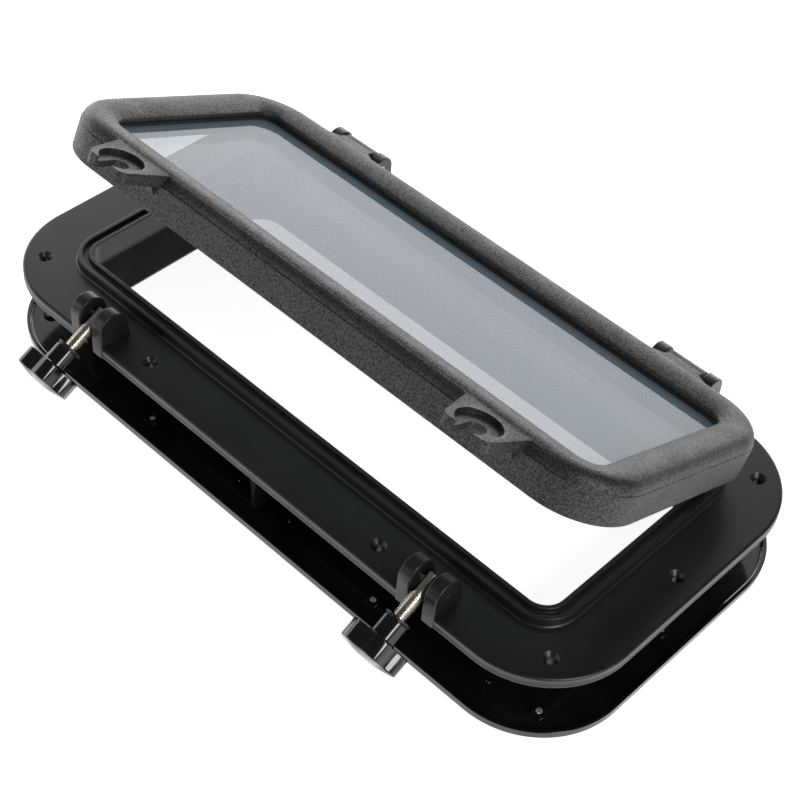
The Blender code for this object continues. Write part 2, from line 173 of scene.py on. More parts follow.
class Sheet:
    """A material with its Principled shader and helpers that add nodes to it."""

    def __init__(self, name: str) -> None:
        """Start an empty material.

        Args:
            name: name of the material.
        """
        self.material = bpy.data.materials.new(name)
        self.material.use_nodes = True
        self.tree = self.material.node_tree
        self.shader = self.tree.nodes["Principled BSDF"]
        self.coords = self.tree.nodes.new("ShaderNodeTexCoord")

    def set(self, **values: object) -> None:
        """Set shader sockets; underscores in a name stand for spaces."""
        for key, value in values.items():
            self.shader.inputs[key.replace("_", " ")].default_value = value

    def noise(self, size_mm: float, detail: float = 2.0, stretch: Sequence[float] = (1, 1, 1),
              roughness: float = 0.5) -> bpy.types.NodeSocket:
        """Add a noise pattern.

        Args:
            size_mm: rough width of one blotch or grain.
            detail: octaves of finer noise.
            stretch: scale along each axis.
            roughness: strength of the finer octaves.

        Returns:
            The noise value socket.
        """
        mapping = self.tree.nodes.new("ShaderNodeMapping")
        mapping.inputs["Scale"].default_value = stretch
        self.tree.links.new(self.coords.outputs["Object"], mapping.inputs["Vector"])
        node = self.tree.nodes.new("ShaderNodeTexNoise")
        node.inputs["Scale"].default_value = 1000.0 / size_mm
        node.inputs["Detail"].default_value = detail
        node.inputs["Roughness"].default_value = roughness
        self.tree.links.new(mapping.outputs["Vector"], node.inputs["Vector"])
        return node.outputs["Fac"]

    def spread(self, source: bpy.types.NodeSocket, low: float, high: float,
               start: float = 0.3, stop: float = 0.7) -> bpy.types.NodeSocket:
        """Map a pattern onto a range.

        Args:
            source: pattern value.
            low: result at start and below.
            high: result at stop and above.
            start: pattern value that gives low.
            stop: pattern value that gives high.

        Returns:
            The mapped value socket.
        """
        node = self.tree.nodes.new("ShaderNodeMapRange")
        for name, value in (("From Min", start), ("From Max", stop), ("To Min", low), ("To Max", high)):
            node.inputs[name].default_value = value
        self.tree.links.new(source, node.inputs["Value"])
        return node.outputs["Result"]

    def rise(self, height: float, span_mm: float, low: float, high: float) -> bpy.types.NodeSocket:
        """Ramp with height.

        Args:
            height: height where the ramp ends, in metres.
            span_mm: length of the ramp.
            low: value below the ramp.
            high: value above it.

        Returns:
            The ramp's value socket.
        """
        split = self.tree.nodes.new("ShaderNodeSeparateXYZ")
        self.tree.links.new(self.coords.outputs["Object"], split.inputs["Vector"])
        return self.spread(split.outputs["Z"], low, high, height - span_mm * MM, height)

    def tint(self, source: bpy.types.NodeSocket, first: Sequence[float], second: Sequence[float]) -> None:
        """Blend the base colour between two colours by a pattern."""
        node = self.tree.nodes.new("ShaderNodeMix")
        node.data_type = "RGBA"
        node.inputs["A"].default_value = (*first, 1.0)
        node.inputs["B"].default_value = (*second, 1.0)
        self.tree.links.new(source, node.inputs["Factor"])
        self.tree.links.new(node.outputs["Result"], self.shader.inputs["Base Color"])

    def bump(self, source: bpy.types.NodeSocket, depth_mm: float, strength: float,
             under: Optional[bpy.types.NodeSocket] = None) -> bpy.types.NodeSocket:
        """Add a bump layer.

        Args:
            source: height pattern.
            depth_mm: height of the pattern.
            strength: how strongly it shows.
            under: normal socket of the layer below.

        Returns:
            The normal socket of this layer.
        """
        node = self.tree.nodes.new("ShaderNodeBump")
        node.inputs["Distance"].default_value = depth_mm * MM
        node.inputs["Strength"].default_value = strength
        self.tree.links.new(source, node.inputs["Height"])
        if under is not None:
            self.tree.links.new(under, node.inputs["Normal"])
        self.tree.links.new(node.outputs["Normal"], self.shader.inputs["Normal"])
        return node.outputs["Normal"]

    def drive(self, socket: str, source: bpy.types.NodeSocket) -> None:
        """Link a pattern to a shader socket."""
        self.tree.links.new(source, self.shader.inputs[socket])


@dataclass(frozen=True)
class GrainedPlastic:
    """Satin black moulding with a spark-eroded grain."""

    name: str = "grained_black_plastic"
    dark: tuple[float, float, float] = (0.013, 0.014, 0.011)
    light: tuple[float, float, float] = (0.021, 0.022, 0.018)
    rough: tuple[float, float] = (0.44, 0.54)
    grain_mm: float = 0.95
    grain_depth_mm: float = 0.2
    grain_strength: float = 1.0
    speckle: tuple[float, float] = (0.15, 1.0)
    # height below which reflections are cut away: painted shade under the flange
    painted_shade_below: Optional[float] = None

    def build(self) -> bpy.types.Material:
        """Return the material."""
        sheet = Sheet(self.name)
        sheet.set(IOR=1.5, Specular_IOR_Level=0.5)
        cloud = sheet.noise(38.0, 3.0)
        sheet.tint(sheet.spread(cloud, 0.0, 1.0), self.dark, self.light)
        sheet.drive("Roughness", sheet.spread(sheet.noise(14.0, 4.0), *self.rough))
        # Below the flange underside the specular level falls to 0.02: painted shade under the flange, not a change of
        # finish.
        if self.painted_shade_below is None:
            speckle = sheet.spread(sheet.noise(self.grain_mm, 2.0), *self.speckle, 0.35, 0.65)
            sheet.drive("Specular IOR Level", speckle)
        else:
            sheet.drive("Specular IOR Level", sheet.rise(self.painted_shade_below, 4.0, 0.02, 0.5))
        swell = sheet.bump(sheet.noise(9.0, 1.0), 0.02, 0.25)
        grain = sheet.noise(self.grain_mm, 2.0, roughness=0.6)
        sheet.bump(grain, self.grain_depth_mm, self.grain_strength, swell)
        return sheet.material


@dataclass(frozen=True)
class GlossPlastic:
    """Polished black moulding with a faint ripple and handling haze."""

    name: str = "gloss_black_plastic"
    dark: tuple[float, float, float] = (0.004, 0.004, 0.005)
    light: tuple[float, float, float] = (0.008, 0.008, 0.010)
    rough: tuple[float, float] = (0.07, 0.16)

    def build(self) -> bpy.types.Material:
        """Return the material."""
        sheet = Sheet(self.name)
        sheet.set(IOR=1.5, Specular_IOR_Level=0.5, Coat_Weight=0.25, Coat_Roughness=0.05)
        sheet.tint(sheet.spread(sheet.noise(22.0, 2.0), 0.0, 1.0), self.dark, self.light)
        sheet.drive("Roughness", sheet.spread(sheet.noise(6.0, 5.0, roughness=0.65), *self.rough))
        ripple = sheet.bump(sheet.noise(7.0, 1.0), 0.02, 0.2)
        sheet.bump(sheet.noise(0.9, 1.0), 0.004, 0.2, ripple)
        return sheet.material


@dataclass(frozen=True)
class SmokedGlass:
    """Grey tinted pane with a strong surface reflection."""

    name: str = "smoked_glass"
    tint: tuple[float, float, float] = (0.20, 0.27, 0.32)
    see_through: float = 0.44

    def build(self) -> bpy.types.Material:
        """Return the material."""
        sheet = Sheet(self.name)
        sheet.set(Base_Color=(*self.tint, 1.0), IOR=1.5, Alpha=1.0 - self.see_through)
        sheet.drive("Roughness", sheet.spread(sheet.noise(30.0, 3.0), 0.03, 0.07))
        sheet.bump(sheet.noise(60.0, 1.0), 0.01, 0.1)
        return sheet.material


@dataclass(frozen=True)
class SoftRubber:
    """Matt black seal."""

    name: str = "seal_rubber"

    def build(self) -> bpy.types.Material:
        """Return the material."""
        sheet = Sheet(self.name)
        sheet.set(IOR=1.45, Specular_IOR_Level=0.35)
        sheet.tint(sheet.spread(sheet.noise(8.0, 4.0), 0.0, 1.0),
                   (0.006, 0.006, 0.006), (0.016, 0.016, 0.016))
        sheet.drive("Roughness", sheet.spread(sheet.noise(3.0, 3.0), 0.62, 0.82))
        sheet.bump(sheet.noise(0.4, 2.0), 0.02, 0.3)
        return sheet.material


@dataclass(frozen=True)
class TurnedMetal:
    """Machined metal with fine tool marks around the bolt line."""

    name: str
    dark: tuple[float, float, float]
    light: tuple[float, float, float]
    rough: tuple[float, float] = (0.2, 0.36)

    def build(self) -> bpy.types.Material:
        """Return the material."""
        sheet = Sheet(self.name)
        sheet.set(Metallic=1.0)
        sheet.tint(sheet.spread(sheet.noise(9.0, 2.0), 0.0, 1.0), self.dark, self.light)
        sheet.drive("Roughness", sheet.spread(sheet.noise(4.0, 3.0), *self.rough))
        sheet.bump(sheet.noise(0.25, 2.0, (0.15, 1.0, 1.0)), 0.003, 0.2)
        return sheet.material


@dataclass(frozen=True)
class SatinNylon:
    """Black nylon of the washers and bushes."""

    name: str = "satin_nylon"

    def build(self) -> bpy.types.Material:
        """Return the material."""
        sheet = Sheet(self.name)
        sheet.set(IOR=1.52, Specular_IOR_Level=0.45)
        sheet.tint(sheet.spread(sheet.noise(5.0, 3.0), 0.0, 1.0),
                   (0.008, 0.008, 0.009), (0.016, 0.016, 0.017))
        sheet.drive("Roughness", sheet.spread(sheet.noise(2.0, 3.0), 0.34, 0.5))
        sheet.bump(sheet.noise(0.3, 2.0), 0.01, 0.2)
        return sheet.material


@dataclass(frozen=True)
class PaleSweep:
    """Bright seamless floor."""

    name: str = "pale_sweep"

    def build(self) -> bpy.types.Material:
        """Return the material."""
        sheet = Sheet(self.name)
        sheet.set(Roughness=0.9, Specular_IOR_Level=0.1, Base_Color=(0.9, 0.9, 0.9, 1.0),
                  Emission_Color=(1.0, 1.0, 1.0, 1.0), Emission_Strength=0.86)
        return sheet.material


# ---------------------------------------------------------------- shaping helpers


@dataclass(frozen=True)
class Outline:
    """A rectangle with rounded corners."""

    half_x: float
    half_y: float
    radius: float

    def grown(self, step: float) -> "Outline":
        """Return the outline a step further out all round."""
        return Outline(self.half_x + step, self.half_y + step, self.radius + step)

    def draw(self, bm: bmesh.types.BMesh, height: float, steps: int) -> list[bmesh.types.BMEdge]:
        """Draw the outline as one loop of edges.

        Args:
            bm: mesh to draw in.
            height: height of the loop.
            steps: segments in each corner.

        Returns:
            The loop's edges.
        """
        verts = bmesh.ops.create_grid(bm, x_segments=1, y_segments=1, size=1.0)["verts"]
        bmesh.ops.scale(bm, vec=(self.half_x, self.half_y, 1.0), verts=verts)
        bmesh.ops.translate(bm, vec=(0.0, 0.0, height), verts=verts)
        made = bmesh.ops.bevel(bm, geom=verts, offset=self.radius, offset_type="OFFSET", affect="VERTICES",
                               segments=steps, profile=0.5, material=-1)
        face = next(f for v in made["verts"] for f in v.link_faces)
        edges = list(face.edges)
        bmesh.ops.delete(bm, geom=[face], context="FACES_ONLY")
        return edges

    def carry(self, point: Vector, other: "Outline", height: float) -> Vector:
        """Move a point of this outline to another one.

        Args:
            point: point on this outline.
            other: outline to move to.
            height: height of the new point.

        Returns:
            The point at the same corner and angle on the other outline.
        """
        sx, sy = math.copysign(1.0, point.x), math.copysign(1.0, point.y)
        angle = math.atan2(point.y - sy * (self.half_y - self.radius),
                           point.x - sx * (self.half_x - self.radius))
        return Vector((sx * (other.half_x - other.radius) + other.radius * math.cos(angle),
                       sy * (other.half_y - other.radius) + other.radius * math.sin(angle), height))


def sweep(bm: bmesh.types.BMesh, edges: list[bmesh.types.BMEdge], stations: Sequence[Station],
          closed: bool) -> None:
    """Extrude a loop from station to station, then join the ends or cap them.

    Args:
        bm: mesh that holds the loop.
        edges: edges of the first loop.
        stations: for each later loop, where a point of the first one goes.
        closed: True joins the last loop to the first; False caps both.
    """
    first = list(edges)
    start = {v: v.co.copy() for e in edges for v in e.verts}
    for station in stations:
        made = bmesh.ops.extrude_edge_only(bm, edges=edges)["geom"]
        fresh = {g for g in made if isinstance(g, bmesh.types.BMVert)}
        source = {v: next(start[e.other_vert(v)] for e in v.link_edges if e.other_vert(v) in start)
                  for v in fresh}
        for vert, point in source.items():
            vert.co = station(point)
        edges = [g for g in made if isinstance(g, bmesh.types.BMEdge) and all(v in fresh for v in g.verts)]
        start = source
    if closed:
        bmesh.ops.remove_doubles(bm, verts=bm.verts, dist=1e-4)
    else:
        bmesh.ops.edgeloop_fill(bm, edges=first)
        bmesh.ops.edgeloop_fill(bm, edges=edges)
    bmesh.ops.recalc_face_normals(bm, faces=bm.faces)


def loft(bm: bmesh.types.BMesh, section: Sequence[tuple[Outline, float]], steps: int, closed: bool) -> None:
    """Build a ring or plate from outlines at heights.

    Args:
        bm: empty mesh to build in.
        section: outline and height of each station.
        steps: segments in each corner.
        closed: True makes a ring, False a plate.
    """
    base, height = section[0]
    edges = base.draw(bm, height, steps)
    order = list(section[1:]) + ([section[0]] if closed else [])
    sweep(bm, edges, [lambda p, o=o, z=z: base.carry(p, o, z) for o, z in order], closed)


def soften(bm: bmesh.types.BMesh, offset: float, segments: int = 2, angle: float = 28.0,
           test: Optional[EdgeTest] = None) -> None:
    """Round the edges that turn more than an angle.

    Args:
        bm: mesh to round.
        offset: width of the rounding.
        segments: faces across it.
        angle: smallest turn that counts, in degrees.
        test: extra test that an edge has to pass.
    """
    limit = math.radians(angle)
    picked = [e for e in bm.edges if e.is_manifold and e.calc_face_angle(0.0) > limit
              and (test is None or test(e))]
    bmesh.ops.bevel(bm, geom=picked, offset=offset, offset_type="OFFSET", affect="EDGES", segments=segments,
                    profile=0.5, material=-1, clamp_overlap=True)


def rod(bm: bmesh.types.BMesh, radius: float, low: Vector, high: Vector, steps: int = 48,
        end_radius: Optional[float] = None) -> list[bmesh.types.BMVert]:
    """Add a closed cylinder or cone between two points.

    Args:
        bm: mesh to add to.
        radius: radius at the low end.
        low: centre of the first end.
        high: centre of the other end.
        steps: sides of the cylinder.
        end_radius: radius at the high end, the same when left out.

    Returns:
        The new vertices.
    """
    span = high - low
    turn = Vector((0.0, 0.0, 1.0)).rotation_difference(span).to_matrix().to_4x4()
    place = Matrix.Translation((low + high) / 2) @ turn
    return bmesh.ops.create_cone(bm, cap_ends=True, segments=steps, radius1=radius,
                                 radius2=radius if end_radius is None else end_radius,
                                 depth=span.length, matrix=place)["verts"]


def block(bm: bmesh.types.BMesh, low: Sequence[float], high: Sequence[float]) -> list[bmesh.types.BMVert]:
    """Add a box between two corners and return its vertices."""
    verts = bmesh.ops.create_cube(bm, size=1.0)["verts"]
    size = [b - a for a, b in zip(low, high)]
    bmesh.ops.scale(bm, vec=size, verts=verts)
    bmesh.ops.translate(bm, vec=[(a + b) / 2 for a, b in zip(low, high)], verts=verts)
    return verts


def slab(bm: bmesh.types.BMesh, outline: Sequence[tuple[float, float]], low: float, high: float,
         rounds: Optional[dict[int, float]] = None) -> None:
    """Raise a plate from a short outline, with some corners rounded.

    Args:
        bm: empty mesh to add to.
        outline: corners in plan.
        low: bottom of the plate.
        high: top of the plate.
        rounds: corner radius by corner number.
    """
    verts = [bm.verts.new((x, y, low)) for x, y in outline]
    bm.faces.new(verts)
    for number, radius in (rounds or {}).items():
        bmesh.ops.bevel(bm, geom=[verts[number]], offset=radius, offset_type="OFFSET", affect="VERTICES",
                        segments=10, profile=0.5, material=-1)
    bmesh.ops.remove_doubles(bm, verts=bm.verts, dist=1e-3)
    face = next(iter(bm.faces))
    top = bmesh.ops.extrude_face_region(bm, geom=[face], use_keep_orig=True)["geom"]
    raised = [g for g in top if isinstance(g, bmesh.types.BMVert)]
    bmesh.ops.translate(bm, vec=(0.0, 0.0, high - low), verts=raised)
    bmesh.ops.recalc_face_normals(bm, faces=bm.faces)


def turned(bm: bmesh.types.BMesh, profile: Section, centre: Vector, steps: int) -> None:
    """Spin a closed profile of radius and height about a vertical line.

    Args:
        bm: mesh to add to.
        profile: radius and height of each point, first and last on the axis.
        centre: point on the axis.
        steps: sides of the solid.
    """
    verts = [bm.verts.new(centre + Vector((r, 0.0, z))) for r, z in profile]
    edges = [bm.edges.new(pair) for pair in zip(verts, verts[1:])]
    bmesh.ops.spin(bm, geom=verts + edges, cent=centre, axis=(0.0, 0.0, 1.0), angle=math.tau,
                   steps=steps, use_merge=True, use_duplicate=False)
    near = [v for v in bm.verts if (v.co.xy - centre.xy).length < WELD_REACH]
    bmesh.ops.remove_doubles(bm, verts=near, dist=1e-4)


def mesh_of(bm: bmesh.types.BMesh, name: str) -> bpy.types.Object:
    """Put a finished bmesh into a new object and return it."""
    bmesh.ops.recalc_face_normals(bm, faces=bm.faces)
    mesh = bpy.data.meshes.new(name)
    bm.to_mesh(mesh)
    bm.free()
    item = bpy.data.objects.new(name, mesh)
    bpy.context.scene.collection.objects.link(item)
    return item


def gathered(items: Sequence[bpy.types.Object]) -> bpy.types.Object:
    """Put several separate closed shapes into one object and return it."""
    bm = bmesh.new()
    for item in items:
        mesh = item.data
        bm.from_mesh(mesh)
        bpy.data.objects.remove(item)
        bpy.data.meshes.remove(mesh)
    return mesh_of(bm, "shapes")


def bake_modifiers(item: bpy.types.Object) -> None:
    """Replace an object's mesh with what its modifiers make."""
    graph = bpy.context.evaluated_depsgraph_get()
    mesh = bpy.data.meshes.new_from_object(item.evaluated_get(graph))
    item.modifiers.clear()
    old = item.data
    item.data = mesh
    bpy.data.meshes.remove(old)


def joined(base: bpy.types.Object, tool: bpy.types.Object, cut: Cut) -> bpy.types.Object:
    """Add or remove one closed shape and return the base.

    Args:
        base: object that is kept.
        tool: object that is used up.
        cut: what the tool does.

    Returns:
        The base object with its new mesh.
    """
    mod = base.modifiers.new("cut", "BOOLEAN")
    mod.object = tool
    mod.operation = cut.value
    mod.solver = "EXACT"
    bake_modifiers(base)
    bm = bmesh.new()
    bm.from_mesh(base.data)
    bmesh.ops.remove_doubles(bm, verts=bm.verts, dist=0.002)
    bmesh.ops.dissolve_degenerate(bm, edges=bm.edges, dist=0.001)
    bm.to_mesh(base.data)
    bm.free()
    spent = tool.data
    bpy.data.objects.remove(tool)
    bpy.data.meshes.remove(spent)
    return base


@dataclass(frozen=True)
class Seat:
    """Where a sub-assembly sits: a point in the drawing and a turn about X."""

    origin: Vector
    turn_deg: float = 0.0

    def matrix(self, datum: Vector) -> Matrix:
        """Return the transform from millimetre drawing space to the model.

        Args:
            datum: drawing origin in the model, in metres.
        """
        turn = Matrix.Rotation(math.radians(self.turn_deg), 4, "X")
        return Matrix.Translation(datum) @ Matrix.Scale(MM, 4) @ Matrix.Translation(self.origin) @ turn


@dataclass
class Workshop:
    """Holds the datum and the finished materials, and hands pieces to the frame."""

    datum: Vector
    finishes: dict[str, bpy.types.Material] = field(default_factory=dict)

    def dress(self, node: str, finish: str) -> None:
        """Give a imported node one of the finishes."""
        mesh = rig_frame["nodes"][node].data
        mesh.materials.clear()
        mesh.materials.append(self.finishes[finish])
        log.info("dressed %s in %s", node, finish)

    def deliver(self, item: bpy.types.Object, seat: Seat, body: str, nodes: Sequence[str], slot: str,
                finish: str, sharp: float = 38.0) -> bpy.types.Object:
        """Place, shade and register a piece.

        Args:
            item: piece in millimetre drawing space.
            seat: where its drawing space sits.
            body: body that it moves with.
            nodes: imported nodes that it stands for.
            slot: material slot of the record.
            finish: name of the finish.
            sharp: edges that turn more than this stay crisp, in degrees.

        Returns:
            The piece.
        """
        mesh = item.data
        mesh.transform(seat.matrix(self.datum))
        mesh.materials.clear()
        mesh.materials.append(self.finishes[finish])
        mesh.shade_smooth()
        mesh.set_sharp_from_angle(angle=math.radians(sharp))
        level = item.modifiers.new("even", "WEIGHTED_NORMAL")
        level.keep_sharp = True
        level.weight = 60
        bake_modifiers(item)
        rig.ride(item, body)
        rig.slot(item, slot)
        if nodes:
            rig.replaces(item, *nodes)
        log.info("built %s on %s: %d faces", item.name, body, len(item.data.polygons))
        return item


# ---------------------------------------------------------------- the hatch


@dataclass
class DeckFrame:
    """Moulded frame: flange, coaming, spigot, ears, fins and screw holes. Millimetres."""

    shop: Workshop
    half_x: float = 220.0
    half_y: float = 111.0
    corner: float = 54.0
    thickness: float = FLANGE_THICKNESS
    opening: Outline = Outline(178.0, 70.0, 12.0)
    spigot_base: float = -47.5
    steps: int = 22
    fitting_x: float = 127.0
    pivot: Vector = field(default_factory=lambda: Vector((0.0, -101.8, 10.0)))
    hinge: Vector = field(default_factory=lambda: Vector((0.0, 103.0, 18.5)))
    latch_ear_radius: float = 9.45
    latch_ear_width: float = 8.0
    latch_ear_foot: float = 12.0
    latch_gap: float = 10.0
    hinge_ear_radius: float = 8.0
    hinge_ear_foot: float = 10.5
    ear_root: float = -7.2
    notch_play: float = 0.4
    hinge_pin_hole: float = 2.3
    latch_pin_hole: float = 1.8
    latch_pin_half: float = 14.5
    fin_depth: tuple[float, float] = (74.0, 102.0)
    pad_height: tuple[float, float] = (-12.0, -5.0)
    hinge_ears: tuple[tuple[float, float], ...] = ((106.0, 113.5), (140.0, 147.4))
    holes: tuple[tuple[float, float], ...] = ((195.0, 86.0), (88.6, 97.5), (206.0, 0.0))
    hole_radius: float = 2.25
    sink_radius: float = 4.15

    @property
    def edge(self) -> Outline:
        """Outline of the flange."""
        return Outline(self.half_x, self.half_y, self.corner)

    def hole_places(self) -> list[tuple[float, float]]:
        """Return every screw position."""
        places = {(sx * x, sy * y) for x, y in self.holes for sx in (-1, 1) for sy in (-1, 1)}
        return sorted(places)

    def shell(self) -> bpy.types.Object:
        """Flange, double coaming ridge and spigot in one section."""
        bm = bmesh.new()
        inner: Section = ((5.6, self.spigot_base), (4.7, self.spigot_base), (2.0, -44.0), (0.0, COAMING_TOP),
                          (2.6, COAMING_TOP), (2.9, 2.8), (6.2, 2.8), (6.5, COAMING_TOP), (9.0, COAMING_TOP),
                          (9.6, 0.8), (10.6, 0.0))
        rim: Section = ((1.9, 0.0), (0.7, -0.35), (0.05, -1.3), (0.35, -2.6), (0.45, -4.6), (0.05, -5.9),
                        (0.4, -7.2), (1.6, -self.thickness))
        section = [(self.opening.grown(s), z) for s, z in inner]
        section += [(self.edge.grown(-s), z) for s, z in rim]
        section += [(self.opening.grown(7.4), -self.thickness), (self.opening.grown(5.9), -9.8)]
        loft(bm, section, self.steps, True)
        soften(bm, 0.45, 3, 24.0)
        return mesh_of(bm, "main_frame_skin")

    def latch_ear(self, low: float, high: float) -> bpy.types.Object:
        """Round-topped ear of a latch, flush with the flange edge and sloping down behind."""
        return self.ear(self.pivot, self.latch_ear_radius, self.latch_ear_foot, 1, (low, high), 0.8)

    def ear(self, axis: Vector, radius: float, foot: float, way: int, ends: tuple[float, float],
            edge: float) -> bpy.types.Object:
        """Upright plate that grows out of the flange around a pivot.

        Args:
            axis: pivot that the top is round about.
            radius: radius of the top.
            foot: how far behind the pivot the back slope meets the flange.
            way: 1 slopes towards +Y, -1 towards -Y.
            ends: the two faces.
            edge: rounding of the rim.

        Returns:
            The plate.
        """
        top = axis.z + radius
        slope = math.pi / 2 + math.atan2(axis.z, foot) - math.acos(radius / math.hypot(foot, axis.z))
        reach = radius * math.tan(slope / 2)
        buried = 1.15
        outline = [(-radius, self.ear_root), (-radius, top), (reach, top),
                   (reach + (foot - reach) * buried, top - top * buried)]
        bm = bmesh.new()
        slab(bm, [(axis.y + way * y, z) for y, z in outline], *ends, {1: radius, 2: reach})
        bmesh.ops.rotate(bm, cent=(0, 0, 0), matrix=SIDEWAYS.to_matrix(), verts=bm.verts)
        soften(bm, edge, 3, 50.0, lambda e: any(max(abs(v.co.x - x) for v in e.verts) < 0.01 for x in ends))
        return mesh_of(bm, "ear")

    def hinge_ear(self, low: float, high: float) -> bpy.types.Object:
        """Round-topped ear of a hinge, upright at the flange edge."""
        return self.ear(self.hinge, self.hinge_ear_radius, self.hinge_ear_foot, -1, (low, high), 0.6)

    def fin(self, way: int) -> bpy.types.Object:
        """Centre fin under one long side, flared at the flange."""
        bm = bmesh.new()
        outline = ((-4.3, -6.0), (-4.3, -8.6), (-1.4, -30.0), (-1.4, -43.6),
                   (1.4, -43.6), (1.4, -30.0), (4.3, -8.6), (4.3, -6.0))
        slab(bm, outline, *self.fin_depth)
        soften(bm, 0.4, 2, 60.0, lambda e: max(v.co.z for v in e.verts) > self.fin_depth[1] - 0.1)
        upright = Matrix.Rotation(math.radians(90.0), 3, "X")
        bmesh.ops.rotate(bm, cent=(0, 0, 0), matrix=upright, verts=bm.verts)
        bmesh.ops.scale(bm, vec=(1.0, -way, 1.0), verts=bm.verts)
        return mesh_of(bm, "fin")

    def pad(self, x: float) -> bpy.types.Object:
        """Thicker block under the flange behind a latch."""
        bm = bmesh.new()
        outline = ((x - 30, -107), (x + 30, -107), (x + 34, -77), (x - 34, -77))
        slab(bm, outline, *self.pad_height)
        soften(bm, 0.8, 2, 60.0, lambda e: max(v.co.z for v in e.verts) < self.pad_height[1] - 0.1)
        return mesh_of(bm, "pad")

    def build(self) -> None:
        """Build and deliver the frame, and dress its pins."""
        body = self.shell()
        under, notches, ears = [], bmesh.new(), []
        half = self.latch_gap / 2
        for side in Side:
            x = side.value * self.fitting_x
            under += [self.pad(x), self.fin(side.value)]
            play = half + self.notch_play
            block(notches, (x - play, -114.0, -14.0), (x + play, -97.0, 3.0))
            for way in (-1, 1):
                ends = sorted((x + way * half, x + way * (half + self.latch_ear_width)))
                ears.append(self.latch_ear(*ends))
            ears += [self.hinge_ear(*sorted(side.value * e for e in ear)) for ear in self.hinge_ears]
        joined(body, gathered(under), Cut.ADD)
        joined(body, mesh_of(notches, "notches"), Cut.REMOVE)
        joined(body, gathered(ears), Cut.ADD)
        drills = bmesh.new()
        for x, y in self.hole_places():
            self.drill(drills, x, y)
        for side in Side:
            h = self.hinge
            for low, high in self.hinge_ears:
                rod(drills, self.hinge_pin_hole, Vector((side.value * (low - 1), h.y, h.z)),
                    Vector((side.value * (high + 1), h.y, h.z)), 32)
            x, p = side.value * self.fitting_x, self.pivot
            rod(drills, self.latch_pin_hole, Vector((x - self.latch_pin_half, p.y, p.z)),
                Vector((x + self.latch_pin_half, p.y, p.z)), 32)
        joined(body, mesh_of(drills, "drills"), Cut.REMOVE)
        body.name = "main_frame_skin"
        self.shop.deliver(body, Seat(Vector()), "frame", ["main_frame"], "black_abs", "satin")
        for side in Side:
            self.shop.dress("hinge_pin_" + side.label, "steel")
            self.shop.dress("latch_pin_" + side.label, "steel")

    def drill(self, bm: bmesh.types.BMesh, x: float, y: float) -> None:
        """Add the cutting shape of one countersunk hole."""
        profile: Section = ((0.0, -20.0), (self.hole_radius, -20.0), (self.hole_radius, -2.2),
                            (self.sink_radius, -0.25), (self.sink_radius + 0.3, 0.0),
                            (self.sink_radius + 0.3, 1.0), (0.0, 1.0))
        turned(bm, profile, Vector((x, y, 0.0)), 32)


@dataclass
class ClampingRing:
    """Gloss ring that pulls the frame against the panel. Millimetres."""

    shop: Workshop
    frame: DeckFrame
    half_x: float = 221.0
    half_y: float = 111.5
    corner: float = 54.5
    base: float = -49.5
    floor: float = -46.8
    lip: float = -44.2
    hole_radius: float = 1.8
    spigot_clear: float = 5.66
    pegs: tuple[tuple[float, float], ...] = ((20.0, 92.0), (165.0, 91.0))
    boss: Section = ((0.0, -48.4), (4.4, -48.4), (4.4, -45.7), (4.1, -45.1), (3.5, -44.9), (0.0, -44.9))
    peg: Section = ((0.0, -48.4), (1.3, -48.4), (1.3, -45.7), (0.9, -45.3), (0.0, -45.3))

    def build(self) -> None:
        """Build and deliver the ring."""
        bm = bmesh.new()
        hole, edge = self.frame.opening, Outline(self.half_x, self.half_y, self.corner)
        section = [(edge, self.lip), (edge.grown(-2.1), self.lip), (edge.grown(-2.6), self.floor + 0.5),
                   (edge.grown(-3.6), self.floor), (hole.grown(self.spigot_clear), self.floor),
                   (hole.grown(self.spigot_clear), self.base),
                   (edge.grown(-0.9), self.base), (edge, self.base + 0.9)]
        loft(bm, section, self.frame.steps, True)
        soften(bm, 0.35, 3, 26.0)
        ring = mesh_of(bm, "trim_ring_skin")
        studs = bmesh.new()
        places = self.frame.hole_places()
        for x, y in places:
            turned(studs, self.boss, Vector((x, y, 0.0)), 32)
        for x, y in {(sx * x, sy * y) for x, y in self.pegs for sx in (-1, 1) for sy in (-1, 1)}:
            turned(studs, self.peg, Vector((x, y, 0.0)), 20)
        joined(ring, mesh_of(studs, "studs"), Cut.ADD)
        drills = bmesh.new()
        for x, y in places:
            rod(drills, self.hole_radius, Vector((x, y, -52.0)), Vector((x, y, -43.0)), 28)
        joined(ring, mesh_of(drills, "drills"), Cut.REMOVE)
        self.shop.deliver(ring, Seat(Vector()), "frame", ["trim_ring"], "gloss_black", "gloss")


